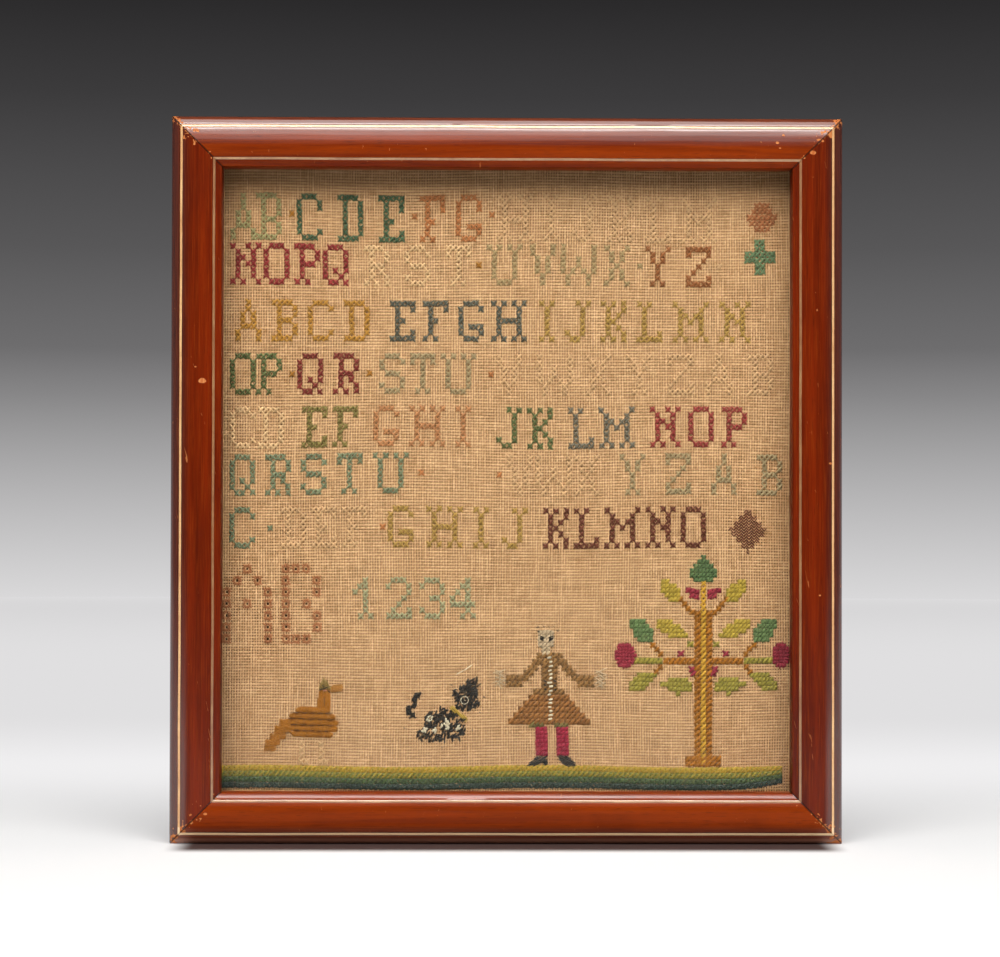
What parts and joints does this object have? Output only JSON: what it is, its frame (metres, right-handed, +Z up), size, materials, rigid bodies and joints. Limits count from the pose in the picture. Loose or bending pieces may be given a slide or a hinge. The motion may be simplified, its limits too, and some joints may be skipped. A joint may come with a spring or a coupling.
{
  "type": "framed cross stitch sampler",
  "caption": "Linen sampler worked in cross stitch with letters, figures, a tree and a ground band, behind glass in a mitred mahogany frame with pale stringing.",
  "frame": {"origin": "middle of the footprint, on the surface that the bottom rail stands on", "axes": "+Z up, -Y the way the stitched side faces, +X to the right as the stitched side is looked at"},
  "size_m": [0.235, 0.02, 0.254],
  "materials": {
    "mahogany": "polished, worn at the mitres",
    "boxwood": "polished",
    "pane": "clear, thin",
    "linen": "open plain weave, browned with age",
    "silk": "faded embroidery thread in several colours",
    "board": "plain sawn"
  },
  "bodies": {
    "root": {"rail_top": "mahogany", "rail_bottom": "mahogany", "rail_left": "mahogany", "rail_right": "mahogany", "stringing_outer_top": "boxwood", "stringing_outer_bottom": "boxwood", "stringing_outer_left": "boxwood", "stringing_outer_right": "boxwood", "stringing_inner_top": "boxwood", "stringing_inner_bottom": "boxwood", "stringing_inner_left": "boxwood", "stringing_inner_right": "boxwood", "glass_pane": "pane", "linen_ground": "linen", "backing_board": "board"}
  },
  "joints": []
}
